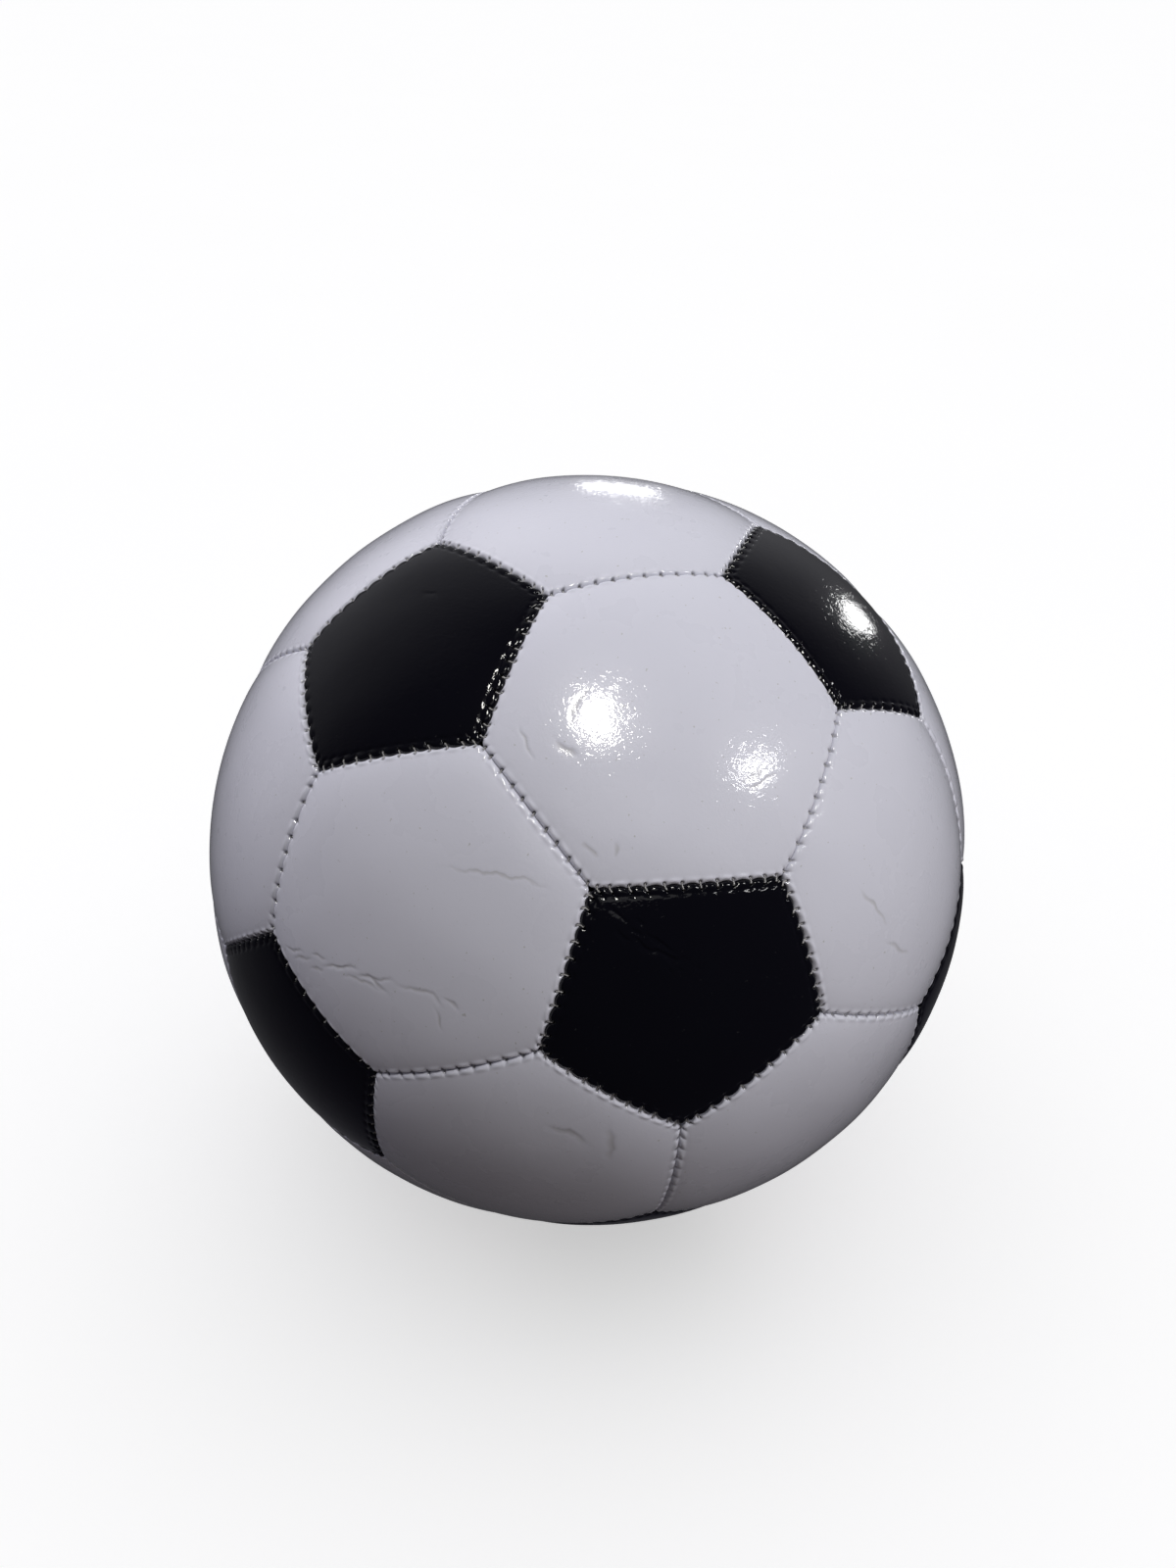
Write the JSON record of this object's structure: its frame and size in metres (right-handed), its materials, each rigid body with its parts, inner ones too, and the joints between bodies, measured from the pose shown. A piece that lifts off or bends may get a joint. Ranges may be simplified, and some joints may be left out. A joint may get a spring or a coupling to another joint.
{
  "type": "soccer ball",
  "caption": "Stitched ball of black pentagon and white hexagon panels over an air bladder, with a recessed needle valve.",
  "frame": {"origin": "centre of the ball", "axes": "+Z through the centre of a white hexagon panel; a white hexagon panel next to it faces -Y, and the valve is in the white hexagon panel next to it at 120 degrees round, between +X and +Y"},
  "size_m": [0.2194, 0.2198, 0.22],
  "materials": {
    "white_cover": "glossy synthetic leather, white with a cool cast",
    "black_cover": "glossy synthetic leather, black",
    "thread": "waxed polyester thread",
    "bladder_rubber": "thin dusted butyl rubber",
    "valve_rubber": "moulded rubber, satin",
    "lining_cloth": "woven lining cloth"
  },
  "bodies": {
    "ball": {"hexagon_panel_01": "white_cover", "hexagon_panel_02": "white_cover", "hexagon_panel_03": "white_cover", "hexagon_panel_04": "white_cover", "hexagon_panel_05": "white_cover", "hexagon_panel_06": "white_cover", "hexagon_panel_07": "white_cover", "hexagon_panel_08": "white_cover", "hexagon_panel_09": "white_cover", "hexagon_panel_10": "white_cover", "hexagon_panel_11": "white_cover", "hexagon_panel_12": "white_cover", "hexagon_panel_13": "white_cover", "hexagon_panel_14": "white_cover", "hexagon_panel_15": "white_cover", "hexagon_panel_16": "white_cover", "hexagon_panel_17": "white_cover", "hexagon_panel_18": "white_cover", "hexagon_panel_19": "white_cover", "valve_hexagon_panel": "white_cover", "pentagon_panel_01": "black_cover", "pentagon_panel_02": "black_cover", "pentagon_panel_03": "black_cover", "pentagon_panel_04": "black_cover", "pentagon_panel_05": "black_cover", "pentagon_panel_06": "black_cover", "pentagon_panel_07": "black_cover", "pentagon_panel_08": "black_cover", "pentagon_panel_09": "black_cover", "pentagon_panel_10": "black_cover", "pentagon_panel_11": "black_cover", "pentagon_panel_12": "black_cover", "thread_upper_half": "thread", "thread_lower_half": "thread", "thread_joining_seam": "thread", "thread_hand_closed_seam": "thread", "bladder": "bladder_rubber", "valve_patch": "lining_cloth", "valve_boss": "valve_rubber"},
    "valve_insert": {"valve_insert": "valve_rubber"}
  },
  "joints": [
    {"name": "valve_insert_pull", "type": "slide", "parent": "ball", "child": "valve_insert", "axis": [0.5774, 0.3333, 0.7454], "range_m": [0, 0.03]}
  ]
}
